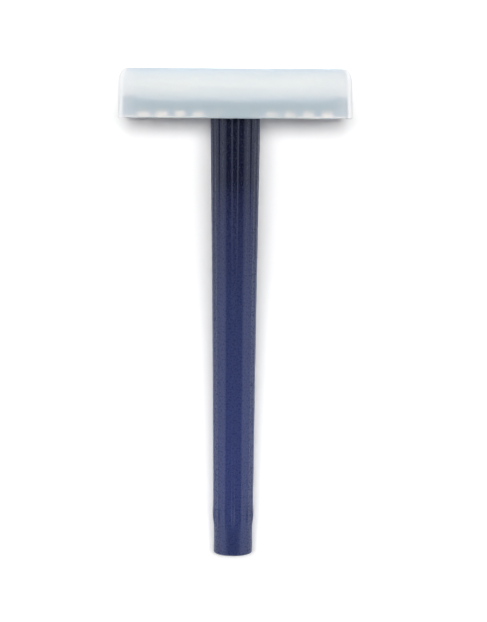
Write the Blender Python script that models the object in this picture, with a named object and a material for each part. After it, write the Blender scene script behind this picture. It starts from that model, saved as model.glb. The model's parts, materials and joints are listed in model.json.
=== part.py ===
# Two-edged prep razor with a ribbed tubular handle, a comb head and a push-on cover.
#
# Each piece is modelled with the handle upright along +Z and the razor's front towards -Y.
# The blade, its guard and its cap share one arch, whose centre line is their origin.
# The finished razor is then laid on its back with its head towards +Y. Units are metres.

import math

import bmesh
import bpy
from mathutils import Vector

# Handle, a hollow moulding that is open at the head and closed at its plain end
handle_length = 0.09242
handle_head_radius = 0.00495
handle_end_radius = 0.00404
handle_wall = 0.0016
handle_floor = 0.0022
handle_edge_round = 0.00045
plain_end_length = 0.0045
rib_nose_length = 0.0035
rib_head_height = 0.00021
rib_end_height = 0.00013
rib_swell_height = 0.0001
rib_swell_length = 0.0028
rib_head_half_angle = math.radians(10.0)
rib_end_half_angle = math.radians(6.0)
rib_count = 15
rib_rows = 7
rib_point_shares = (-1.0, -0.5, 0.0, 0.5, 1.0)
rib_tip_width_share = 0.4

# Clearances between pieces that are pushed together, and the overrun of every cutter
seat_gap = 0.0003
fit_clearance = 0.00015
blade_seat_gap = 0.00006
cut_overrun = 0.001

# Blade, a flat strip that the cap bends over the guard
blade_length = 0.0430
blade_width = 0.0221
blade_thickness = 0.0001
blade_ground_width = 0.0006
blade_edge_length = 0.0376
blade_tab_width = 0.0188
blade_slot_length = 0.0330
blade_slot_width = 0.0020
blade_hole_clearance = 0.0004
arch_radius = 0.0340

# Comb guard, the arched plate under the blade
guard_thickness = 0.0014
head_end_margin = 0.0011
comb_reach = 0.00148
comb_tip_radius = 0.00065
comb_tip_drop = 0.00094
comb_slot_width = 0.00231
comb_tooth_width = 0.00137
comb_slot_depth = 0.00315
comb_root_round = 0.0005
comb_tooth_round = 0.0003
comb_end_block = 0.0030
post_height = 0.0026
post_blade_gap = 0.0003
post_setback = 0.00005
post_round = 0.00035

# Spigot under the guard, which plugs into the handle
boss_rim = 0.00014
boss_stand = 0.00025
spigot_length = 0.0165
spigot_lead = 0.0006
key_width = 0.0016
key_height = 0.0015
key_depth = 0.0008

# Cap, which clamps the blade and is staked under the guard
cap_crown_thickness = 0.0011
cap_nose_radius = 0.0007
cap_blade_exposure = 0.00135
cap_end_overlap = 0.0004
cap_corner_radius = 0.0020
cap_end_round = 0.0004
pin_radius = 0.0012
pin_spacing = 0.0240
stake_rim = 0.0006
stake_height = 0.0008
middle_pin_radius = 0.0015
middle_pin_length = 0.0025
pin_tip_round = 0.0004

# Cover, a drafted shell that grips the drafted ends of the guard
cover_wall = 0.00075
cover_headroom = 0.00432
cover_end_clearance = 0.0002
cover_side_clearance = 0.0004
cover_rim_overhang = 0.0003
cover_corner_radius = 0.0018
cover_long_edge_round = 0.0040
cover_end_round_width = 0.0012
cover_end_round_height = 0.0028
cover_end_draft = math.radians(1.2)
cover_side_draft = math.radians(1.5)

# Steps that stand for one smooth curve
round_steps = 3
rib_nose_steps = 6
rib_swell_steps = 3
pin_sides = 24
spigot_sides = 36
arch_steps = 12
nose_steps = 8
corner_steps = 5
roof_steps = 6
cap_end_steps = 5

full_turn = 2 * math.pi
quarter_turn = math.pi / 2


# Points and meshes


def arc(centre, radius, start, end, steps):
    """Points on a circle in a section, with angles counted from straight up, clockwise."""
    points = []
    for step in range(steps + 1):
        angle = start + (end - start) * step / steps
        across = centre[0] + radius * math.sin(angle)
        up = centre[1] + radius * math.cos(angle)
        points.append((across, up))
    return points


def both_sides(half):
    """Closes a half outline, which starts and ends on the middle line, with its mirror image."""
    return half + [(-across, up) for across, up in reversed(half[1:-1])]


def circle(radius, height, sides):
    """A level ring of points around the handle's axis."""
    angles = [full_turn * side / sides for side in range(sides)]
    return [Vector((radius * math.cos(a), radius * math.sin(a), height)) for a in angles]


def rounded_rectangle(half_x, half_y, radius, height):
    """A level ring of points around a rectangle with round corners."""
    points = []
    for quarter, (side_x, side_y) in enumerate(((1, 1), (-1, 1), (-1, -1), (1, -1))):
        centre_x = side_x * (half_x - radius)
        centre_y = side_y * (half_y - radius)
        for step in range(corner_steps + 1):
            angle = (quarter + step / corner_steps) * quarter_turn
            x = centre_x + radius * math.cos(angle)
            y = centre_y + radius * math.sin(angle)
            points.append(Vector((x, y, height)))
    return points


def across_x(section, x):
    """Stands a section of (y, z) points upright at one place along X."""
    return [Vector((x, y, z)) for y, z in section]


def level(outline, height):
    """Lays an outline of (x, y) points flat at one height."""
    return [Vector((x, y, height)) for x, y in outline]


def add_loft(bm, rings):
    """Skins a row of rings that have equal numbers of points, and closes both ends."""
    rows = [[bm.verts.new(point) for point in ring] for ring in rings]
    for row, following in zip(rows, rows[1:]):
        for index in range(len(row)):
            after = (index + 1) % len(row)
            bm.faces.new((row[index], row[after], following[after], following[index]))
    bm.faces.new(rows[0])
    bm.faces.new(rows[-1])


def new_object(name, lofts, parent, height=0.0):
    """Makes an object from closed lofts, with its origin on the handle's axis."""
    bm = bmesh.new()
    for rings in lofts:
        add_loft(bm, rings)
    bmesh.ops.recalc_face_normals(bm, faces=bm.faces[:])
    mesh = bpy.data.meshes.new(name)
    bm.to_mesh(mesh)
    bm.free()
    mesh.shade_smooth()
    mesh.set_sharp_from_angle(angle=math.radians(35.0))
    piece = bpy.data.objects.new(name, mesh)
    bpy.context.scene.collection.objects.link(piece)
    piece.parent = parent
    piece.location.z = height
    return piece


def combine(piece, operation, name, lofts):
    """Joins, cuts or trims a piece with a helper that stays out of renders."""
    helper = new_object(name, lofts, piece.parent, piece.location.z)
    helper.display_type = "WIRE"
    helper.hide_render = True
    modifier = piece.modifiers.new(name, "BOOLEAN")
    modifier.operation = operation
    modifier.solver = "EXACT"
    modifier.object = helper


def paint(piece, name, colour, roughness, metallic=0.0, transmission=0.0):
    """Gives a piece its own Principled material."""
    material = bpy.data.materials.new(name)
    material.use_nodes = True
    shader = material.node_tree.nodes["Principled BSDF"]
    shader.inputs["Base Color"].default_value = (*colour, 1.0)
    shader.inputs["Roughness"].default_value = roughness
    shader.inputs["Metallic"].default_value = metallic
    shader.inputs["Transmission Weight"].default_value = transmission
    piece.data.materials.append(material)


# Sizes that several pieces share

# The blade's flat half width is wrapped round the arch, which gives the angle of its edge
edge_angle = blade_width / (2 * arch_radius)
edge_y = arch_radius * math.sin(edge_angle)
edge_z = arch_radius * math.cos(edge_angle)

guard_top_radius = arch_radius - blade_seat_gap
guard_under_radius = guard_top_radius - guard_thickness
blade_top_radius = arch_radius + blade_thickness
cap_under_radius = blade_top_radius + blade_seat_gap

comb_half_depth = edge_y + comb_reach
comb_tip_centre = (comb_half_depth - comb_tip_radius, edge_z - comb_tip_drop)
comb_underside = comb_tip_centre[1] - comb_tip_radius
head_half_length = blade_length / 2 + head_end_margin
comb_pitch = comb_slot_width + comb_tooth_width
comb_stretch = 2 * (head_half_length - comb_end_block)
comb_slot_count = int((comb_stretch + comb_tooth_width) / comb_pitch)
comb_half_stretch = (comb_slot_count * comb_pitch - comb_tooth_width) / 2

# Heights of the shared arch and of the cover's rim above the handle's closed end
boss_radius = handle_head_radius + rib_head_height + boss_rim
boss_seat = math.sqrt(guard_under_radius**2 - boss_radius**2)
shoulder_z = boss_seat - boss_stand
arch_height = handle_length + seat_gap - shoulder_z
handle_top_z = handle_length - arch_height
rim_z = comb_underside - cover_rim_overhang
rim_height = arch_height + rim_z

cap_crown_z = cap_under_radius + cap_crown_thickness
cover_height = cap_crown_z + cover_headroom + cover_wall - rim_z
cover_half_length = head_half_length + cover_end_clearance + cover_wall
cover_half_depth = comb_half_depth + cover_side_clearance + cover_wall


def along_ribs(height, at_end, at_head):
    """A value that changes evenly from the start of the ribs to the head."""
    share = (height - plain_end_length) / (handle_length - plain_end_length)
    return at_end + (at_head - at_end) * max(share, 0.0)


def core_radius(height):
    return along_ribs(height, handle_end_radius, handle_head_radius)


def bore_radius(height):
    return core_radius(height) - handle_wall


def cover_section(height, inset):
    """The cover's outline at a height above its rim, drawn in by the inset on every side."""
    top = cover_height - inset
    half_x = cover_half_length - inset - height * math.tan(cover_end_draft)
    half_y = cover_half_depth - inset - height * math.tan(cover_side_draft)
    end_round_height = cover_end_round_height - inset
    end_round_width = cover_end_round_width - inset
    edge_round = cover_long_edge_round - inset
    end_rise = min(max((height - top) / end_round_height + 1.0, 0.0), 1.0)
    edge_rise = min(max((height - top) / edge_round + 1.0, 0.0), 1.0)
    half_x -= end_round_width * (1.0 - math.sqrt(1.0 - end_rise**2))
    half_y -= edge_round * (1.0 - math.sqrt(1.0 - edge_rise**2))
    return half_x, half_y, cover_corner_radius - inset


# Handle


def rib_swell(height):
    """The ribs' extra height just behind their noses."""
    reach = abs(height - plain_end_length - rib_nose_length) / rib_swell_length
    return rib_swell_height * (1.0 - min(reach, 1.0) ** 2) ** 2


def handle_ring(height, shrink=0.0):
    """One ring round the ribs and the smooth lands between them."""
    nose = min(max((height - plain_end_length) / rib_nose_length, 0.0), 1.0)
    growth = nose**2 * (3.0 - 2.0 * nose)
    crest = growth * (along_ribs(height, rib_end_height, rib_head_height) + rib_swell(height))
    width_share = rib_tip_width_share + (1.0 - rib_tip_width_share) * growth
    half_angle = width_share * along_ribs(height, rib_end_half_angle, rib_head_half_angle)
    core = core_radius(height) - shrink
    pitch = full_turn / rib_count
    points = []
    for rib in range(rib_count):
        places = [(half_angle * share, 1.0 - share**2) for share in rib_point_shares]
        places.append((pitch / 2, 0.0))
        for turn, rise in places:
            angle = rib * pitch + turn
            radius = core + crest * rise
            points.append(Vector((radius * math.sin(angle), -radius * math.cos(angle), height)))
    return points


def bore_ring(height):
    """A ring of the bore, with as many points as a ring of the outside."""
    radius = bore_radius(height)
    outside = handle_ring(handle_length)
    return [Vector((*(radius * point.xy.normalized()), height)) for point in outside]


def key_block(side, clearance):
    """One key of the spigot, or with a clearance the notch for it in the handle."""
    inner = spigot_top_radius / 2
    outer = bore_radius(handle_length) + key_depth - fit_clearance + clearance
    half_width = key_width / 2 + clearance
    outline = [(inner, -half_width), (outer, -half_width), (outer, half_width), (inner, half_width)]
    return [(side * x, y) for x, y in outline]


def make_handle(parent):
    rings = []
    for step in range(round_steps + 1):
        angle = quarter_turn * step / round_steps
        height = handle_edge_round * (1.0 - math.cos(angle))
        rings.append(handle_ring(height, handle_edge_round * (1.0 - math.sin(angle))))
    for step in range(rib_nose_steps + 1):
        rings.append(handle_ring(plain_end_length + rib_nose_length * step / rib_nose_steps))
    ribs_start = plain_end_length + rib_nose_length
    for step in range(1, rib_swell_steps + 1):
        rings.append(handle_ring(ribs_start + rib_swell_length * step / rib_swell_steps))
    swell_end = ribs_start + rib_swell_length
    for row in range(1, rib_rows + 1):
        rings.append(handle_ring(swell_end + (handle_length - swell_end) * row / rib_rows))
    for height in (handle_length, plain_end_length, handle_floor):
        rings.append(bore_ring(height))
    handle = new_object("handle", [rings], parent)
    low = handle_length - key_height - fit_clearance
    high = handle_length + cut_overrun
    notches = []
    for side in (-1, 1):
        outline = key_block(side, fit_clearance)
        notches.append([level(outline, low), level(outline, high)])
    combine(handle, "DIFFERENCE", "handle_notches", notches)
    paint(handle, "navy handle plastic", (0.019, 0.026, 0.085), 0.34)
    return handle


# Comb guard

spigot_top_radius = bore_radius(handle_length) - fit_clearance
spigot_tip_radius = bore_radius(handle_length - spigot_length) - fit_clearance
post_inner_x = comb_half_stretch + fit_clearance


def guard_section():
    """The plate's arched section, which runs out into the round tips of the comb."""
    half = arc((0.0, 0.0), guard_top_radius, 0.0, edge_angle, arch_steps)
    half += arc(comb_tip_centre, comb_tip_radius, math.radians(15.0), math.pi, nose_steps)
    under_angle = math.acos(min(comb_underside / guard_under_radius, 1.0))
    half += arc((0.0, 0.0), guard_under_radius, under_angle, 0.0, arch_steps)
    return both_sides(half)


def post_section(side):
    """A corner post that shields one end of a cutting edge, with a rounded top."""
    inner = edge_y + post_blade_gap
    outer = comb_half_depth - post_setback
    top = edge_z + post_height
    low = comb_tip_centre[1]
    outline = [(inner, low)]
    outline += arc((inner + post_round, top - post_round), post_round, -quarter_turn, 0.0, round_steps)
    outline += arc((outer - post_round, top - post_round), post_round, 0.0, quarter_turn, round_steps)
    outline.append((outer, low))
    return [(side * y, z) for y, z in outline]


def slot_outline():
    """One slot of the comb from above: round root corners, and a mouth that rounds the teeth."""
    half_width = comb_slot_width / 2
    root = comb_half_depth - comb_slot_depth
    root_centre = (half_width - comb_root_round, root + comb_root_round)
    mouth_centre = (half_width + comb_tooth_round, comb_half_depth - comb_tooth_round)
    outside = comb_half_depth + cut_overrun
    half = [(0.0, root)]
    half += arc(root_centre, comb_root_round, math.pi, quarter_turn, round_steps)
    half += arc(mouth_centre, comb_tooth_round, -quarter_turn, 0.0, round_steps)
    half += [(half_width + comb_tooth_round, outside), (0.0, outside)]
    return both_sides(half)


def make_comb_guard(parent):
    long_x = head_half_length + cut_overrun
    section = guard_section()
    guard = new_object(
        "comb_guard", [[across_x(section, -long_x), across_x(section, long_x)]], parent, arch_height
    )

    for name, side_y in (("front", -1), ("rear", 1)):
        section = post_section(side_y)
        posts = []
        for side_x in (-1, 1):
            ends = (side_x * post_inner_x, side_x * long_x)
            posts.append([across_x(section, x) for x in ends])
        combine(guard, "UNION", f"guard_{name}_posts", posts)

    envelope = []
    for height in (-cut_overrun, post_height * 2):
        half_x, half_y, radius = cover_section(height, cover_wall + cover_end_clearance)
        envelope.append(rounded_rectangle(half_x, half_y, radius, rim_z + height))
    combine(guard, "INTERSECT", "guard_ends", [envelope])

    low = comb_underside - cut_overrun
    high = guard_top_radius + cut_overrun
    for name, side_y in (("front", -1), ("rear", 1)):
        slots = []
        for index in range(comb_slot_count):
            middle = (index - (comb_slot_count - 1) / 2) * comb_pitch
            outline = [(middle + x, side_y * y) for x, y in slot_outline()]
            slots.append([level(outline, low), level(outline, high)])
        combine(guard, "DIFFERENCE", f"guard_{name}_slots", slots)

    # The boss starts inside the plate, halfway between its underside and its top
    plate_z = (guard_under_radius + math.sqrt(guard_top_radius**2 - boss_radius**2)) / 2
    spigot = [
        circle(boss_radius, plate_z, spigot_sides),
        circle(boss_radius, shoulder_z, spigot_sides),
        circle(spigot_top_radius, shoulder_z, spigot_sides),
        circle(spigot_tip_radius, handle_top_z - spigot_length + spigot_lead, spigot_sides),
        circle(spigot_tip_radius - spigot_lead, handle_top_z - spigot_length, spigot_sides),
    ]
    combine(guard, "UNION", "guard_spigot", [spigot])
    keys = []
    for side in (-1, 1):
        outline = key_block(side, 0.0)
        middle_of_boss = (plate_z + shoulder_z) / 2
        keys.append([level(outline, handle_top_z - key_height), level(outline, middle_of_boss)])
    combine(guard, "UNION", "guard_keys", keys)

    holes = []
    for side in (-1, 1):
        ring = circle(pin_radius + fit_clearance, low, pin_sides)
        bottom = [point + Vector((side * pin_spacing / 2, 0.0, 0.0)) for point in ring]
        top = [point + Vector((0.0, 0.0, high - low)) for point in bottom]
        holes.append([bottom, top])
    blind_z = guard_top_radius - middle_pin_length - fit_clearance
    blind_radius = middle_pin_radius + fit_clearance
    holes.append([circle(blind_radius, blind_z, pin_sides), circle(blind_radius, high, pin_sides)])
    combine(guard, "DIFFERENCE", "guard_pin_holes", holes)
    paint(guard, "navy head plastic", (0.022, 0.030, 0.095), 0.40)
    return guard


# Razor blade


def make_razor_blade(parent):
    ground_angle = edge_angle - blade_ground_width / arch_radius
    middle_radius = arch_radius + blade_thickness / 2
    half = arc((0.0, 0.0), blade_top_radius, 0.0, ground_angle, arch_steps)
    half += arc((0.0, 0.0), middle_radius, edge_angle, edge_angle, 1)[:1]
    half += arc((0.0, 0.0), arch_radius, ground_angle, 0.0, arch_steps)
    section = both_sides(half)
    ends = (-blade_length / 2, blade_length / 2)
    blade = new_object("razor_blade", [[across_x(section, x) for x in ends]], parent, arch_height)

    # Each corner is cut back, so the cutting edge stops short of the blade's ends
    low = edge_z - cut_overrun
    high = blade_top_radius + cut_overrun
    tab_y = arch_radius * math.sin(blade_tab_width / (2 * arch_radius))
    corners = []
    for side_x in (-1, 1):
        for side_y in (-1, 1):
            near_x = side_x * blade_edge_length / 2
            far_x = side_x * (blade_length / 2 + cut_overrun)
            near_y = side_y * tab_y
            far_y = side_y * (edge_y + cut_overrun)
            outline = [(near_x, near_y), (far_x, near_y), (far_x, far_y), (near_x, far_y)]
            corners.append([level(outline, low), level(outline, high)])
    combine(blade, "DIFFERENCE", "blade_corners", corners)

    slot = rounded_slot(blade_slot_length / 2, blade_slot_width / 2)
    combine(blade, "DIFFERENCE", "blade_slot", [[level(slot, low), level(slot, high)]])
    holes = []
    for x, radius in (
        (-pin_spacing / 2, pin_radius),
        (0.0, middle_pin_radius),
        (pin_spacing / 2, pin_radius),
    ):
        outline = arc((x, 0.0), radius + blade_hole_clearance, 0.0, full_turn, pin_sides)[:-1]
        holes.append([level(outline, low), level(outline, high)])
    combine(blade, "DIFFERENCE", "blade_holes", holes)
    paint(blade, "blade steel", (0.62, 0.63, 0.65), 0.22, metallic=1.0)
    return blade


def rounded_slot(half_length, radius):
    """A long slot with half-round ends."""
    right = arc((half_length - radius, 0.0), radius, 0.0, math.pi, 2 * round_steps)
    left = arc((radius - half_length, 0.0), radius, math.pi, full_turn, 2 * round_steps)
    return right + left


# Top cap


def cap_section(pull, inset):
    """The cap's section, its noses pulled towards the middle and its whole outline drawn in."""
    nose_angle = edge_angle - (cap_blade_exposure + pull) / arch_radius
    nose_reach = cap_under_radius + cap_nose_radius
    nose_y = nose_reach * math.sin(nose_angle)
    nose_z = nose_reach * math.cos(nose_angle)
    radius = cap_nose_radius - inset
    crown = cap_crown_z - inset
    # The crown is the circle through the top of the cap that runs smoothly into both noses
    drop = crown - nose_z
    crown_radius = (nose_y**2 + drop**2 - radius**2) / (2 * (drop - radius))
    crown_centre = crown - crown_radius
    crown_angle = math.atan2(nose_y, nose_z - crown_centre)
    half = arc((0.0, crown_centre), crown_radius, 0.0, crown_angle, arch_steps)
    half += arc((nose_y, nose_z), radius, crown_angle, math.pi + nose_angle, nose_steps)[1:]
    half += arc((0.0, 0.0), cap_under_radius + inset, nose_angle, 0.0, arch_steps)[1:]
    return both_sides(half)


def make_top_cap(parent):
    half_length = blade_length / 2 + cap_end_overlap
    ends = []
    for step in range(cap_end_steps + 1):
        angle = quarter_turn * step / cap_end_steps
        x = half_length - cap_corner_radius * (1.0 - math.sin(angle))
        pull = cap_corner_radius * (1.0 - math.cos(angle))
        rise = max((x - half_length) / cap_end_round + 1.0, 0.0)
        inset = cap_end_round * (1.0 - math.sqrt(1.0 - min(rise, 1.0) ** 2))
        ends.append((x, cap_section(pull, inset)))
    rings = [across_x(section, -x) for x, section in reversed(ends)]
    rings += [across_x(section, x) for x, section in ends]
    cap = new_object("top_cap", [rings], parent, arch_height)

    pin_root = cap_under_radius + cap_crown_thickness / 2
    stake_radius = pin_radius + stake_rim
    stake_top = math.sqrt(guard_under_radius**2 - stake_radius**2) - fit_clearance
    pins = []
    for side in (-1, 1):
        profile = [(pin_radius, pin_root), (pin_radius, stake_top), (stake_radius, stake_top)]
        for step in range(1, round_steps + 1):
            angle = quarter_turn * step / (round_steps + 1)
            profile.append((stake_radius * math.cos(angle), stake_top - stake_height * math.sin(angle)))
        shift = Vector((side * pin_spacing / 2, 0.0, 0.0))
        rings = [circle(radius, height, pin_sides) for radius, height in profile]
        pins.append([[point + shift for point in ring] for ring in rings])
    combine(cap, "UNION", "cap_staked_pins", pins)

    tip = guard_top_radius - middle_pin_length
    profile = [
        (middle_pin_radius, pin_root),
        (middle_pin_radius, tip + pin_tip_round),
        (middle_pin_radius - pin_tip_round, tip),
    ]
    middle_pin = [circle(radius, height, pin_sides) for radius, height in profile]
    combine(cap, "UNION", "cap_middle_pin", [middle_pin])
    paint(cap, "navy cap plastic", (0.022, 0.030, 0.095), 0.36)
    return cap


# Blade cover


def cover_rings(inset):
    """Rings from the rim up to the roof, closer together where the roof's edges are round."""
    edge_round = cover_long_edge_round - inset
    bend = cover_height - cover_long_edge_round
    heights = [0.0]
    for step in range(roof_steps + 1):
        heights.append(bend + edge_round * math.sin(quarter_turn * step / roof_steps))
    rings = []
    for height in heights:
        rings.append(rounded_rectangle(*cover_section(height, inset), height))
    return rings


def make_blade_cover(parent):
    outside = cover_rings(0.0)
    inside = cover_rings(cover_wall)
    rings = list(reversed(outside)) + inside
    cover = new_object("blade_cover", [rings], parent)
    paint(cover, "frosted cover plastic", (0.90, 0.93, 0.94), 0.45, transmission=0.6)
    return cover


# The whole razor


def lying_tilt():
    """The rise of a handle that rests on the edge of its closed end and on the cover's rim."""
    across = cover_half_depth - handle_end_radius + handle_edge_round
    along = rim_height - handle_edge_round
    return math.atan2(across, along) - math.asin(handle_edge_round / math.hypot(across, along))


def centre_on_bench(frame, pieces):
    """Moves the lying razor so that its box stands on the origin."""
    bpy.context.view_layer.update()
    graph = bpy.context.evaluated_depsgraph_get()
    points = []
    for piece in pieces:
        evaluated = piece.evaluated_get(graph)
        points += [evaluated.matrix_world @ vertex.co for vertex in evaluated.data.vertices]
    low = Vector([min(point[axis] for point in points) for axis in range(3)])
    high = Vector([max(point[axis] for point in points) for axis in range(3)])
    frame.location -= (low + high) / 2
    frame.location.z -= (low.z - high.z) / 2


def make_razor():
    for old in list(bpy.data.objects):
        bpy.data.objects.remove(old)
    frame = bpy.data.objects.new("razor_frame", None)
    bpy.context.scene.collection.objects.link(frame)
    slide = bpy.data.objects.new("cover_slide", None)
    bpy.context.scene.collection.objects.link(slide)
    slide.parent = frame
    slide.location.z = rim_height
    pieces = [
        make_handle(frame),
        make_comb_guard(frame),
        make_razor_blade(frame),
        make_top_cap(frame),
        make_blade_cover(slide),
    ]
    frame.rotation_euler.x = lying_tilt() - quarter_turn
    centre_on_bench(frame, pieces)


make_razor()
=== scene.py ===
import json
import math

import bpy
import numpy as np
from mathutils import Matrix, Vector


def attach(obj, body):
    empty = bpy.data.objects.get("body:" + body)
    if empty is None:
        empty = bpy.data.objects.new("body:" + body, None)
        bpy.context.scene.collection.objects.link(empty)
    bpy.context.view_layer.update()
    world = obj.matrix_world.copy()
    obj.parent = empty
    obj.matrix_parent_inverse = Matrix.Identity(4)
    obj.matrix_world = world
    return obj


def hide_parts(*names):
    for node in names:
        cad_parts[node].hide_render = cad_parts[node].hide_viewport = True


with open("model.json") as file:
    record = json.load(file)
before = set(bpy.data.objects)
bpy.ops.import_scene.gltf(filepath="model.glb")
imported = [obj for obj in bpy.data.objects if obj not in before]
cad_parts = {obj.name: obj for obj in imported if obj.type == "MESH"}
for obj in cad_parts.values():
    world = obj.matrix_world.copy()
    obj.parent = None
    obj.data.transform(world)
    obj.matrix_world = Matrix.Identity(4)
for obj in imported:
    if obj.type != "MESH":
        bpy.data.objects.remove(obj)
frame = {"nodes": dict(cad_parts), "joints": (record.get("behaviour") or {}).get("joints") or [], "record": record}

scene = bpy.context.scene
record = frame["record"]
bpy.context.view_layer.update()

acrossAxis = np.array([1.0, 0.0, 0.0])
alongAxis = np.array(frame["joints"][0]["axis"])
frontAxis = np.cross(acrossAxis, alongAxis)
razorAxes = np.stack([acrossAxis, alongAxis, frontAxis])
mountPlaces = {mount["name"]: np.array(mount["pos_m"]) for mount in record["mounts"]}
handleEnd = mountPlaces["handle_end"]


def toWorld(points):
    # across, along and front become world places
    return handleEnd + np.asarray(points) @ razorAxes


def nodeReach(name):
    # the lowest and highest across, along and front of a CAD node
    mesh = frame["nodes"][name].data
    flat = np.empty(len(mesh.vertices) * 3)
    mesh.vertices.foreach_get("co", flat)
    local = (flat.reshape(-1, 3) - handleEnd) @ razorAxes.T
    return local.min(axis=0), local.max(axis=0)


def smooth(share):
    # an even rise from 0 to 1 that starts and ends level
    share = np.clip(share, 0.0, 1.0)
    return share * share * (3.0 - 2.0 * share)


# Camera

camera = {
    "height": 0.440,
    "across": 0.00192,
    "along": 0.00025,
    "roll": 0.37,           # degrees
    "focalPixels": 2068.0,
    "imageWidth": 487,
    "sensorWidth": 36.0,    # millimetres
    "clipStart": 0.01,
    "clipEnd": 10.0,
}


def makeCamera():
    data = bpy.data.cameras.new("camera")
    data.sensor_fit = "HORIZONTAL"
    data.sensor_width = camera["sensorWidth"]
    data.lens = camera["focalPixels"] / camera["imageWidth"] * data.sensor_width
    data.clip_start = camera["clipStart"]
    data.clip_end = camera["clipEnd"]
    eye = bpy.data.objects.new("camera", data)
    eye.location = (camera["across"], camera["along"], camera["height"])
    eye.rotation_euler = (0.0, 0.0, math.radians(camera["roll"]))
    scene.collection.objects.link(eye)
    scene.camera = eye


makeCamera()
scene.view_settings.view_transform = "Standard"
print("camera set")


# Meshes from grids

def gridFaces(rows, columns, closed):
    # quads between the rows of a grid, whose columns run round when it is closed
    row = np.arange(rows - 1)[:, None] * columns
    column = np.arange(columns if closed else columns - 1)[None, :]
    after = (column + 1) % columns
    quads = np.stack([row + column, row + after, row + columns + after, row + columns + column], axis=-1)
    return quads.reshape(-1, 4)


def makePiece(name, skin, material, body, node):
    # a skin is its points, its quads and the triangles that close its two ends
    points, quads, fans = skin
    mesh = bpy.data.meshes.new(name)
    mesh.from_pydata(toWorld(points).tolist(), [], quads.tolist() + fans.tolist())
    mesh.validate()
    mesh.shade_smooth()
    mesh.materials.append(material)
    piece = bpy.data.objects.new(name, mesh)
    scene.collection.objects.link(piece)
    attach(piece, body)
    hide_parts(node)
    return piece


def loft(rings):
    # a skin over rings of equal size, with each end ring closed by triangles on its middle point
    rows, columns = rings.shape[:2]
    middles = np.stack([rings[0].mean(axis=0), rings[-1].mean(axis=0)])
    points = np.concatenate([rings.reshape(-1, 3), middles])
    column = np.arange(columns)
    after = (column + 1) % columns
    first, last = rows * columns, rows * columns + 1
    base = (rows - 1) * columns
    fans = np.concatenate([
        np.stack([after, column, np.full(columns, first)], axis=-1),
        np.stack([base + column, base + after, np.full(columns, last)], axis=-1),
    ])
    return points, gridFaces(rows, columns, True), fans


def addPointValues(piece, name, values):
    # one number for each point of a mesh, for its material to read
    numbers = piece.data.attributes.new(name, "FLOAT", "POINT")
    numbers.data.foreach_set("value", values.astype(np.float32))


# Materials

white = (1.0, 1.0, 1.0)


def newMaterial(name):
    # a material, its nodes and its shader
    material = bpy.data.materials.new(name)
    material.use_nodes = True
    tree = material.node_tree
    shader = tree.nodes["Principled BSDF"]
    return material, tree, shader


def addNoise(tree, scale, detail, roughness):
    # cloudy values of 0 to 1, tied to the piece so that they move with it
    place = tree.nodes.new("ShaderNodeTexCoord")
    noise = tree.nodes.new("ShaderNodeTexNoise")
    noise.inputs["Scale"].default_value = scale
    noise.inputs["Detail"].default_value = detail
    noise.inputs["Roughness"].default_value = roughness
    tree.links.new(place.outputs["Object"], noise.inputs["Vector"])
    return noise.outputs["Fac"]


def addStops(tree, value, stops):
    # a ramp through (place, colour) stops
    ramp = tree.nodes.new("ShaderNodeValToRGB")
    elements = ramp.color_ramp.elements
    while len(elements) < len(stops):
        elements.new(0.5)
    for element, (place, colour) in zip(elements, stops):
        element.position = place
        element.color = (*colour, 1.0)
    tree.links.new(value, ramp.inputs["Fac"])
    return ramp.outputs["Color"]


def addRamp(tree, value, ends, lowColour, highColour):
    # from one colour at one place to another at the next
    return addStops(tree, value, tuple(zip(ends, (lowColour, highColour))))


def addSwitch(tree, value, colour):
    # white where a share is 0, which changes evenly to a colour where it is 1
    return addRamp(tree, value, (0.0, 1.0), white, colour)


def addProduct(tree, first, second):
    # two colours, channel by channel
    product = tree.nodes.new("ShaderNodeVectorMath")
    product.operation = "MULTIPLY"
    tree.links.new(first, product.inputs[0])
    tree.links.new(second, product.inputs[1])
    return product.outputs["Vector"]


def addScaled(tree, colour, value):
    # a colour, plain or from another node, times one number
    scaled = tree.nodes.new("ShaderNodeVectorMath")
    scaled.operation = "SCALE"
    if isinstance(colour, tuple):
        scaled.inputs[0].default_value = colour
    else:
        tree.links.new(colour, scaled.inputs[0])
    tree.links.new(value, scaled.inputs["Scale"])
    return scaled.outputs["Vector"]


def addMath(tree, operation, first, second):
    # one number from two, of which the second may be a plain one
    result = tree.nodes.new("ShaderNodeMath")
    result.operation = operation
    tree.links.new(first, result.inputs[0])
    if isinstance(second, float):
        result.inputs[1].default_value = second
    else:
        tree.links.new(second, result.inputs[1])
    return result.outputs["Value"]


def addAttribute(tree, name):
    # a number that a mesh carries at each of its points
    attribute = tree.nodes.new("ShaderNodeAttribute")
    attribute.attribute_name = name
    return attribute.outputs["Fac"]


def addRange(tree, value, low, high):
    # a share of 0 to 1 becomes a value between low and high
    spread = tree.nodes.new("ShaderNodeMapRange")
    spread.inputs["To Min"].default_value = low
    spread.inputs["To Max"].default_value = high
    tree.links.new(value, spread.inputs["Value"])
    return spread.outputs["Result"]


def addBump(tree, value, distance, strength):
    # a fine relief in the skin, up to a distance in metres
    bump = tree.nodes.new("ShaderNodeBump")
    bump.inputs["Distance"].default_value = distance
    bump.inputs["Strength"].default_value = strength
    tree.links.new(value, bump.inputs["Height"])
    return bump.outputs["Normal"]


def addEmission(tree, colour, strength):
    # light of one plain colour, as strong as another node says
    glow = tree.nodes.new("ShaderNodeEmission")
    glow.inputs["Color"].default_value = (*colour, 1.0)
    tree.links.new(strength, glow.inputs["Strength"])
    return glow.outputs["Emission"]


def addSum(tree, first, second):
    # two shaders, one on top of the other
    total = tree.nodes.new("ShaderNodeAddShader")
    tree.links.new(first, total.inputs[0])
    tree.links.new(second, total.inputs[1])
    return total.outputs["Shader"]


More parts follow.
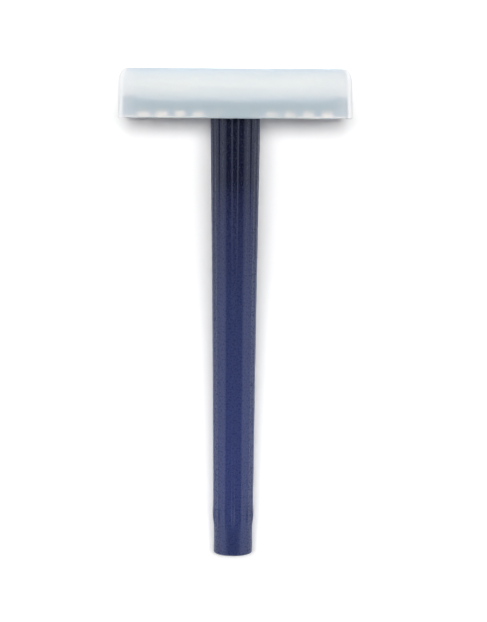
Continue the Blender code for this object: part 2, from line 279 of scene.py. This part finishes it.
def addMix(tree, share, first, second):
    # two shaders, by the share of the second
    mix = tree.nodes.new("ShaderNodeMixShader")
    tree.links.new(share, mix.inputs["Fac"])
    tree.links.new(first, mix.inputs[1])
    tree.links.new(second, mix.inputs[2])
    return mix.outputs["Shader"]


navyPlastic = {
    "head": (0.020, 0.029, 0.088),
    # the moulding is a little see-through, lighter where it is hollow and thin and darker where the
    # head's spigot fills its bore; the ramp also holds painted light, painted shade towards the head
    # where the cover shades the handle and painted light towards the plain end where more light
    # falls; by shares of the handle's length from its plain end
    "depthAndPaintedShadeAlongHandle": (
        (0.000, (0.023, 0.033, 0.105)),
        (0.125, (0.029, 0.041, 0.135)),
        (0.240, (0.029, 0.041, 0.135)),
        (0.570, (0.0205, 0.030, 0.097)),
        (0.750, (0.0130, 0.018, 0.064)),
        (0.797, (0.0105, 0.014, 0.052)),
        (0.850, (0.0045, 0.006, 0.024)),
        (1.000, (0.0035, 0.005, 0.018)),
    ),
    "mottle": (0.86, 1.14),
    "roughness": (0.22, 0.34),
    "bend": 1.57,
    # noises: cells per metre, how many finer layers they have, and how strong those are
    "cloud": (260.0, 5.0, 0.7),
    "grain": (2600.0, 6.0, 0.65),
    "grainDepth": 0.000012,
    "grainStrength": 0.5,
}


def makeNavyPlastic(name, depthAndPaintedShadeAlongHandle):
    # moulded plastic: a slightly mottled colour, fine grain in the skin and an uneven shine
    material, tree, shader = newMaterial(name)
    grain = addNoise(tree, *navyPlastic["grain"])
    mottle = addRange(tree, addNoise(tree, *navyPlastic["cloud"]), *navyPlastic["mottle"])
    colour = navyPlastic["head"]
    # on the handle the colour ramp holds painted shade towards the head and painted light towards the plain end
    if depthAndPaintedShadeAlongHandle:
        colour = addStops(tree, addAttribute(tree, "alongShare"), navyPlastic["depthAndPaintedShadeAlongHandle"])
    tree.links.new(addScaled(tree, colour, mottle), shader.inputs["Base Color"])
    bump = addBump(tree, grain, navyPlastic["grainDepth"], navyPlastic["grainStrength"])
    tree.links.new(bump, shader.inputs["Normal"])
    tree.links.new(addRange(tree, grain, *navyPlastic["roughness"]), shader.inputs["Roughness"])
    shader.inputs["IOR"].default_value = navyPlastic["bend"]
    return material


bladeSteel = {
    "dark": (0.55, 0.56, 0.58),
    "light": (0.70, 0.71, 0.73),
    "roughness": (0.16, 0.30),
    "lineScale": (40.0, 9000.0, 9000.0),   # lines run across the razor's head
    "lineDetail": 3.0,
    "lineEnds": (0.35, 0.65),   # where in the noise the dark colour ends and the light one starts
}


def makeBladeSteel():
    # rolled strip: fine lines along the blade in its colour and shine
    material, tree, shader = newMaterial("rolledBladeSteel")
    place = tree.nodes.new("ShaderNodeTexCoord")
    stretch = tree.nodes.new("ShaderNodeMapping")
    stretch.inputs["Scale"].default_value = bladeSteel["lineScale"]
    noise = tree.nodes.new("ShaderNodeTexNoise")
    noise.inputs["Scale"].default_value = 1.0
    noise.inputs["Detail"].default_value = bladeSteel["lineDetail"]
    tree.links.new(place.outputs["Object"], stretch.inputs["Vector"])
    tree.links.new(stretch.outputs["Vector"], noise.inputs["Vector"])
    lines = noise.outputs["Fac"]
    colour = addRamp(tree, lines, bladeSteel["lineEnds"], bladeSteel["dark"], bladeSteel["light"])
    tree.links.new(colour, shader.inputs["Base Color"])
    tree.links.new(addRange(tree, lines, *bladeSteel["roughness"]), shader.inputs["Roughness"])
    shader.inputs["Metallic"].default_value = 1.0
    return material


frostedPlastic = {
    "bend": 1.25,
    # noises as for the navy plastic, and where the dark colour ends and the light one starts
    "cloud": (160.0, 3.0, 0.5),
    "cloudEnds": (0.3, 0.7),
    "skin": (5200.0, 5.0, 0.6),
    "skinDepth": 0.000008,
    "skinStrength": 0.4,
    # milky outside: it throws part of the light back, a little bluish, and scatters the rest, and
    # is milkier at its ends, where painted light also whitens it for the light that the end walls gather
    "outside": {
        "dark": (0.78, 0.938, 1.0),
        "light": (0.80, 0.948, 1.0),
        "roughness": (0.50, 0.58),
        "clearShare": 0.552,
        "clearAtEnds": 0.445,
        "paintedLightAtEnds": (1.11, 1.02, 1.0),
        "lampShare": 0.52,
    },
    # painted light: the end walls get a whiter, less clear copy of the plastic, which stands in for the light that
    # gathers in a wall seen edge on, down its length
    "paintedLightEndWall": {
        "dark": (0.96, 0.985, 0.985),
        "light": (0.98, 1.0, 1.0),
        "roughness": (0.50, 0.58),
        "clearShare": 0.12,
        "lampShare": 0.40,
    },
    # the inside lets through what the outside doesn't throw back, so it is a little warm
    "inside": {
        "dark": (0.985, 0.88, 0.81),
        "light": (0.995, 0.90, 0.83),
        "roughness": (0.72, 0.80),
        "clearShare": 1.0,
        "lampShare": 0.52,
    },
}


def makeFrostedPlastic(name, side):
    # milky plastic that lets much light through and scatters it on a fine matt skin
    material, tree, shader = newMaterial(name)
    cloud = addNoise(tree, *frostedPlastic["cloud"])
    skin = addNoise(tree, *frostedPlastic["skin"])
    bump = addBump(tree, skin, frostedPlastic["skinDepth"], frostedPlastic["skinStrength"])
    tree.links.new(bump, shader.inputs["Normal"])
    tree.links.new(addRange(tree, skin, *side["roughness"]), shader.inputs["Roughness"])
    shader.inputs["IOR"].default_value = frostedPlastic["bend"]
    colour = addRamp(tree, cloud, frostedPlastic["cloudEnds"], side["dark"], side["light"])
    # near the ends the skin is less clear, and painted light whitens its colour there
    if "clearAtEnds" in side:
        hazeAndPaintedLight = addAttribute(tree, "endHazeAndPaintedLight")
        clearness = addRange(tree, hazeAndPaintedLight, side["clearShare"], side["clearAtEnds"])
        tree.links.new(clearness, shader.inputs["Transmission Weight"])
        colour = addProduct(tree, colour, addSwitch(tree, hazeAndPaintedLight, side["paintedLightAtEnds"]))
    else:
        shader.inputs["Transmission Weight"].default_value = side["clearShare"]
    tree.links.new(colour, shader.inputs["Base Color"])
    # a share of the lamps' light goes straight through, to what lies behind
    clear = tree.nodes.new("ShaderNodeBsdfTransparent")
    path = tree.nodes.new("ShaderNodeLightPath")
    share = addMath(tree, "MULTIPLY", path.outputs["Is Shadow Ray"], side["lampShare"])
    either = addMix(tree, share, shader.outputs["BSDF"], clear.outputs["BSDF"])
    tree.links.new(either, tree.nodes["Material Output"].inputs["Surface"])
    return material


# Handle

handle = {
    "endRadius": 0.00404,
    "headRadius": 0.00495,
    "edgeRound": 0.00045,
    "headEdgeRound": 0.0002,
    "wall": 0.0016,
    "floor": 0.0022,
    "ribCount": 15,
    "plainEnd": 0.0045,
    "noseLength": 0.0035,
    "noseWidthShare": 0.4,
    # a rib's height by shares of the ribs' length from the plain end
    "ribShares": (0.0, 0.35, 0.6, 0.8, 1.0),
    "ribHeights": (0.00010, 0.00007, 0.00008, 0.00014, 0.00020),
    "swellHeight": 0.0001,
    "swellLength": 0.0028,
    "endFlank": (1.0, 6.0),      # degrees from a rib's middle to where its flank starts and ends
    "headFlank": (4.5, 10.0),
    "turnSteps": 360,
    "edgeSteps": 8,
    # rows along the plain end, the ribs' nose, the swell behind it and the ribs up to the head
    "plainSteps": 4,
    "noseSteps": 21,
    "swellSteps": 11,
    "ribSteps": 24,
}


def handleRadius(turn, height, length):
    # A tapered core, plus for each rib a crest that falls smoothly down its flank. The crest's
    # height goes by shares of the ribs' length and the flank's angles change evenly towards the
    # head. Both grow over a round nose, and the crest swells a little where the nose ends.
    share = np.clip((height - handle["plainEnd"]) / (length - handle["plainEnd"]), 0.0, 1.0)
    core = handle["endRadius"] + (handle["headRadius"] - handle["endRadius"]) * share
    growth = smooth((height - handle["plainEnd"]) / handle["noseLength"])
    swellMiddle = handle["plainEnd"] + handle["noseLength"]
    reach = np.clip(np.abs(height - swellMiddle) / handle["swellLength"], 0.0, 1.0)
    swell = handle["swellHeight"] * (1.0 - reach**2) ** 2
    crest = np.interp(share, handle["ribShares"], handle["ribHeights"]) + swell
    width = handle["noseWidthShare"] + (1.0 - handle["noseWidthShare"]) * growth
    inner, outer = (
        np.radians(end + (head - end) * share) * width
        for end, head in zip(handle["endFlank"], handle["headFlank"])
    )
    pitch = 2 * math.pi / handle["ribCount"]
    aside = np.abs((turn + pitch / 2) % pitch - pitch / 2)
    return core + growth * crest * smooth((outer - aside) / (outer - inner))


def makeHandle(material):
    # rings from the plain end up the ribbed outside, then down the bore to its floor
    length = nodeReach("handle")[1][1]
    edge, headEdge = handle["edgeRound"], handle["headEdgeRound"]
    noseEnd = handle["plainEnd"] + handle["noseLength"]
    swellEnd = noseEnd + handle["swellLength"]
    edgeSteps = handle["edgeSteps"]
    bend = np.linspace(0.0, math.pi / 2, edgeSteps + 1)
    heights = np.concatenate([
        edge * (1.0 - np.cos(bend)),
        np.linspace(edge, handle["plainEnd"], handle["plainSteps"] + 1)[1:],
        np.linspace(handle["plainEnd"], noseEnd, handle["noseSteps"] + 1)[1:],
        np.linspace(noseEnd, swellEnd, handle["swellSteps"] + 1)[1:],
        np.linspace(swellEnd, length - headEdge, handle["ribSteps"] + 1)[1:],
        length - headEdge + headEdge * np.sin(bend[1:]),
    ])
    shrink = np.zeros(len(heights))
    shrink[:edgeSteps + 1] = edge * (1.0 - np.sin(bend))
    shrink[-edgeSteps:] = headEdge * (1.0 - np.cos(bend[1:]))
    turn = np.linspace(0.0, 2 * math.pi, handle["turnSteps"], endpoint=False)[None, :]
    outside = handleRadius(turn, heights[:, None], length) - shrink[:, None]
    # the bore follows the core at the wall's thickness, down to a flat floor
    boreHeights = np.array([length, length - headEdge, handle["plainEnd"], handle["floor"]])
    core = np.interp(
        boreHeights, [handle["plainEnd"], length], [handle["endRadius"], handle["headRadius"]]
    )
    bore = np.repeat((core - handle["wall"])[:, None], handle["turnSteps"], axis=1)
    radius = np.concatenate([outside, bore])
    along = np.repeat(np.concatenate([heights, boreHeights])[:, None], handle["turnSteps"], axis=1)
    rings = np.stack([radius * np.sin(turn), along, radius * np.cos(turn)], axis=-1)
    piece = makePiece("ribbedHandle", loft(rings), material, "razor", "handle")
    places = np.concatenate([along.ravel(), [along[0, 0], along[-1, 0]]])
    addPointValues(piece, "alongShare", places / length)
    return piece


# Cover

cover = {
    "wall": 0.00075,
    "cornerRadius": 0.0018,
    "longEdgeRound": 0.0040,
    "endRoundWidth": 0.0012,
    "endRoundHeight": 0.0028,
    "endDraft": 1.2,        # degrees
    "sideDraft": 1.5,
    "rimRound": 0.0003,
    "sideSteps": 24,
    "cornerSteps": 12,
    "rimSteps": 6,
    "wallSteps": 7,
    "roundSteps": 21,
    # the end walls' whiter copy of the plastic is painted light
    "paintedLightEndWallDepth": 0.00094,        # how far in from each end the skin looks white
    # the milkier ends also carry painted light that whitens them
    "hazeAndPaintedLightReach": (0.0186, 0.0228),  # how far across the milkier ends start and are full
}


def roundedRectangle(halfAcross, halfFront, radius):
    # One ring for each row: points spaced evenly on the sides and round the corners. Each corner
    # is a quarter circle about a centre that stands in from both sides by its radius.
    rows = len(halfAcross)
    centreAcross, centreFront = halfAcross - radius, halfFront - radius
    corners = ((1, 1), (-1, 1), (-1, -1), (1, -1))
    share = np.linspace(0.0, 1.0, cover["sideSteps"] + 1)[1:-1][None, :, None]
    rings = []
    for quarter, (signAcross, signFront) in enumerate(corners):
        turn = (quarter + np.linspace(0.0, 1.0, cover["cornerSteps"] + 1)) * math.pi / 2
        across = signAcross * centreAcross[:, None] + radius[:, None] * np.cos(turn)
        front = signFront * centreFront[:, None] + radius[:, None] * np.sin(turn)
        rings.append(np.stack([across, front], axis=-1))
        # the side runs from this corner's last point to the next corner's first one
        nextAcross, nextFront = corners[(quarter + 1) % len(corners)]
        turn = (quarter + 1) * math.pi / 2
        last = rings[-1][:, -1]
        following = np.stack([
            nextAcross * centreAcross + radius * math.cos(turn),
            nextFront * centreFront + radius * math.sin(turn),
        ], axis=-1)
        rings.append(last[:, None] * (1.0 - share) + following[:, None] * share)
    return np.concatenate(rings, axis=1).reshape(rows, -1, 2)


def coverSection(height, inset, size):
    # The outline at a height above the rim: drafted walls that curve in under the roof, over a
    # quarter circle along the front and the back and over a taller quarter ellipse at the ends.
    top = size["height"] - inset
    halfAcross = size["halfAcross"] - inset - height * math.tan(math.radians(cover["endDraft"]))
    halfFront = size["halfFront"] - inset - height * math.tan(math.radians(cover["sideDraft"]))
    endRise = np.clip((height - top) / (cover["endRoundHeight"] - inset) + 1.0, 0.0, 1.0)
    edgeRise = np.clip((height - top) / (cover["longEdgeRound"] - inset) + 1.0, 0.0, 1.0)
    halfAcross = halfAcross - (cover["endRoundWidth"] - inset) * (1.0 - np.sqrt(1.0 - endRise**2))
    halfFront = halfFront - (cover["longEdgeRound"] - inset) * (1.0 - np.sqrt(1.0 - edgeRise**2))
    return halfAcross, halfFront


def makeCover(outside, inside, paintedLightEndWall):
    # an open box in one skin, with one material on its outside, one inside and a whiter copy on its end walls that
    # is painted light
    low, high = nodeReach("blade_cover")
    size = {
        "height": high[1] - low[1],
        "halfAcross": (high[0] - low[0]) / 2,
        "halfFront": (high[2] - low[2]) / 2,
    }
    # each wall has rows round the rim, up the straight part and over the round under the roof
    rim = cover["rimRound"]
    rimRows = cover["rimSteps"] + 1
    bend = np.linspace(0.0, math.pi / 2, rimRows)
    rows = []
    for inset in (0.0, cover["wall"]):
        top = size["height"] - inset
        start = top - cover["longEdgeRound"] + inset
        climb = np.sin(np.linspace(0.0, math.pi / 2, cover["roundSteps"] + 1))
        heights = np.concatenate([
            rim * (1.0 - np.cos(bend)),
            np.linspace(rim, start, cover["wallSteps"] + 1)[1:-1],
            start + (top - start) * climb,
        ])
        halfAcross, halfFront = coverSection(heights, inset, size)
        # the rim is rounded outside and inside
        draw = np.zeros(len(heights))
        draw[:rimRows] = rim * (1.0 - np.sin(bend))
        draw = draw if inset == 0.0 else -draw
        radius = np.full(len(heights), cover["cornerRadius"] - inset) - draw
        ring = roundedRectangle(halfAcross - draw, halfFront - draw, radius)
        along = np.repeat((low[1] + heights)[:, None], ring.shape[1], axis=1)
        rows.append(np.stack([ring[..., 0], along, ring[..., 1]], axis=-1))
    # from the roof down the outside, round the rim and up the inside to the roof again
    rings = np.concatenate([rows[0][::-1], rows[1]])
    skin = loft(rings)
    piece = makePiece("frostedCover", skin, outside, "cover", "blade_cover")
    piece.data.materials.append(inside)
    piece.data.materials.append(paintedLightEndWall)
    # Faces come in rows of quads and then the two closing fans. The inner rows and the second fan
    # are the inside, and outer quads that lie within the end walls' depth are the end walls, which get
    # the painted light.
    columns = rings.shape[1]
    outerRows = len(rows[0])
    skins = np.zeros(len(piece.data.polygons), dtype=np.int32)
    skins[outerRows * columns:-2 * columns] = 1
    skins[-columns:] = 1
    aside = np.abs(rings[..., 0])
    outerAside = aside[:outerRows]
    faceAside = (outerAside + np.roll(outerAside, -1, axis=1)) / 2
    isPaintedLightEndWall = faceAside > outerAside.max(axis=1, keepdims=True) - cover["paintedLightEndWallDepth"]
    skins[:outerRows * columns][isPaintedLightEndWall.ravel()] = 2
    piece.data.polygons.foreach_set("material_index", skins)
    # the ends are milkier, and painted light whitens them for the light that the end walls scatter; the two middle
    # points have none
    hazeStart, hazeFull = cover["hazeAndPaintedLightReach"]
    pointAside = np.append(aside.ravel(), [0.0, 0.0])
    addPointValues(piece, "endHazeAndPaintedLight", smooth((pointAside - hazeStart) / (hazeFull - hazeStart)))
    # what the grainy handle would mirror of the cover's rim is only sparkle
    piece.visible_glossy = False
    return piece


handlePlastic = makeNavyPlastic("navyHandlePlastic", depthAndPaintedShadeAlongHandle=True)
headPlastic = makeNavyPlastic("navyHeadPlastic", depthAndPaintedShadeAlongHandle=False)
handlePiece = makeHandle(handlePlastic)
print("handle made,", len(handlePiece.data.polygons), "faces")
coverPiece = makeCover(
    makeFrostedPlastic("milkyCoverOutside", frostedPlastic["outside"]),
    makeFrostedPlastic("clearCoverInside", frostedPlastic["inside"]),
    makeFrostedPlastic("paintedLightCoverEndWall", frostedPlastic["paintedLightEndWall"]),
)
print("cover made,", len(coverPiece.data.polygons), "faces")

steel = makeBladeSteel()
for name, finish in (("comb_guard", headPlastic), ("top_cap", headPlastic), ("razor_blade", steel)):
    for materialSlot in frame["nodes"][name].material_slots:
        materialSlot.material = finish
print("head finished")


# Floor and light

studio = {
    "floorReach": 0.6,
    "floorSteps": 8,
    "floorLow": (0.92535, 0.92535, 0.92535),
    "floorColour": (0.93, 0.93, 0.93),
    "floorGrain": (900.0, 2.0, 0.5),
    "grainEnds": (0.3, 0.7),
    "floorGain": 1.16,      # how much brighter the camera sees the paper
    "fadeReach": (0.15, 0.40),      # how far out the paper starts to fade to white, and is white
    # how much brighter the paper is seen through the cover, and what it adds to that: both warm,
    # as milky plastic passes light
    "gainThrough": (3.1, 1.96, 1.28),
    "glowColour": (0.62, 0.47, 0.35),
    "gainShine": (0.69, 0.75, 0.94),     # how bright, and how blue, the paper shines in the gloss
    "fillColour": (0.8, 0.8, 0.8),
    "fillLight": 0.12,
    # what shines in glossy plastic from all round and from overhead, and how steep its direction
    # has to be, as the height of a length of 1, for the change to start and end
    "shineColour": (0.88, 0.97, 1.25),
    "shineDark": (0.05, 0.06, 0.07),
    "shineHeights": (0.64, 0.80),
    "lampDistance": 0.8,
    # each lamp: degrees from overhead across and along, its half widths in degrees, and what it
    # adds to a level white floor
    "lamps": {
        "topLamp": ((0.0, 2.8), (20.0, 5.5), 0.88),
        "leftLamp": ((-50.0, 0.0), (14.0, 14.0), 0.03),
        "rightLamp": ((50.0, 0.0), (14.0, 14.0), 0.03),
        "backLamp": ((0.0, 60.0), (12.0, 12.0), 0.13),
    },
}


def makeFloor():
    # near-white paper that clips to white where nothing shades it
    material, tree, shader = newMaterial("paleFloor")
    tree.nodes.remove(shader)
    path = tree.nodes.new("ShaderNodeLightPath")
    isSeen = path.outputs["Is Camera Ray"]
    isThrough = path.outputs["Is Transmission Ray"]
    isShine = path.outputs["Is Glossy Ray"]
    grain = addNoise(tree, *studio["floorGrain"])
    paper = addRamp(tree, grain, studio["grainEnds"], studio["floorLow"], studio["floorColour"])
    paper = addProduct(tree, paper, addSwitch(tree, isThrough, studio["gainThrough"]))
    paper = addProduct(tree, paper, addSwitch(tree, isShine, studio["gainShine"]))
    paper = addScaled(tree, paper, addRange(tree, isSeen, 1.0, studio["floorGain"]))
    matt = tree.nodes.new("ShaderNodeBsdfDiffuse")
    tree.links.new(paper, matt.inputs["Color"])
    surface = addSum(tree, matt.outputs["BSDF"], addEmission(tree, studio["glowColour"], isThrough))
    # far from the razor the paper runs into the white surroundings, for the camera alone
    place = tree.nodes.new("ShaderNodeTexCoord")
    away = tree.nodes.new("ShaderNodeVectorMath")
    away.operation = "LENGTH"
    tree.links.new(place.outputs["Object"], away.inputs[0])
    fade = tree.nodes.new("ShaderNodeMapRange")
    fade.inputs["From Min"].default_value, fade.inputs["From Max"].default_value = studio["fadeReach"]
    tree.links.new(away.outputs["Value"], fade.inputs["Value"])
    whiteness = addMath(tree, "MULTIPLY", fade.outputs["Result"], isSeen)
    surface = addSum(tree, surface, addEmission(tree, white, whiteness))
    tree.links.new(surface, tree.nodes["Material Output"].inputs["Surface"])
    lines = studio["floorSteps"] + 1
    side = np.linspace(-studio["floorReach"], studio["floorReach"], lines)
    across, along = np.meshgrid(side, side)
    points = np.stack([across, along, np.zeros_like(across)], axis=-1).reshape(-1, 3)
    mesh = bpy.data.meshes.new("floor")
    mesh.from_pydata(points.tolist(), [], gridFaces(lines, lines, False).tolist())
    mesh.materials.append(material)
    floor = bpy.data.objects.new("floor", mesh)
    scene.collection.objects.link(floor)


def makeWorld():
    # white for the camera, also through the cover, a faint fill, and its own shine in the gloss
    world = bpy.data.worlds.new("studio")
    world.use_nodes = True
    scene.world = world
    tree = world.node_tree
    tree.nodes.clear()
    path = tree.nodes.new("ShaderNodeLightPath")
    isSeen = addMath(tree, "MAXIMUM", path.outputs["Is Camera Ray"], path.outputs["Is Transmission Ray"])
    fill = tree.nodes.new("ShaderNodeBackground")
    fill.inputs["Color"].default_value = (*studio["fillColour"], 1.0)
    fill.inputs["Strength"].default_value = studio["fillLight"]
    # what shines in glossy plastic: white all round, and dark where the camera looks down from
    place = tree.nodes.new("ShaderNodeTexCoord")
    apart = tree.nodes.new("ShaderNodeSeparateXYZ")
    tree.links.new(place.outputs["Generated"], apart.inputs["Vector"])
    heights = studio["shineHeights"]
    shade = addRamp(tree, apart.outputs["Z"], heights, studio["shineColour"], studio["shineDark"])
    shine = tree.nodes.new("ShaderNodeBackground")
    tree.links.new(shade, shine.inputs["Color"])
    around = tree.nodes.new("ShaderNodeBackground")
    around.inputs["Color"].default_value = (*white, 1.0)
    isShine = path.outputs["Is Glossy Ray"]
    surface = addMix(tree, isShine, fill.outputs["Background"], shine.outputs["Background"])
    surface = addMix(tree, isSeen, surface, around.outputs["Background"])
    output = tree.nodes.new("ShaderNodeOutputWorld")
    tree.links.new(surface, output.inputs["Surface"])


def makeLamps():
    # oval lamps that neither the camera sees nor the gloss mirrors
    for name, (away, reach, level) in studio["lamps"].items():
        distance = studio["lampDistance"]
        turnAcross, turnAlong = (math.radians(angle) for angle in away)
        data = bpy.data.lights.new(name, "AREA")
        data.shape = "ELLIPSE"
        data.size, data.size_y = (2 * distance * math.tan(math.radians(half)) for half in reach)
        # an area lamp adds its power over (pi times its distance) squared to a white surface
        slant = math.cos(turnAcross) * math.cos(turnAlong)
        data.energy = level / slant * (math.pi * distance) ** 2
        lamp = bpy.data.objects.new(name, data)
        lamp.rotation_euler = (-turnAlong, turnAcross, 0.0)
        lamp.location = lamp.rotation_euler.to_matrix() @ Vector((0.0, 0.0, distance))
        lamp.visible_glossy = False
        lamp.visible_camera = False
        scene.collection.objects.link(lamp)


makeFloor()
makeWorld()
makeLamps()
print("floor and light set")
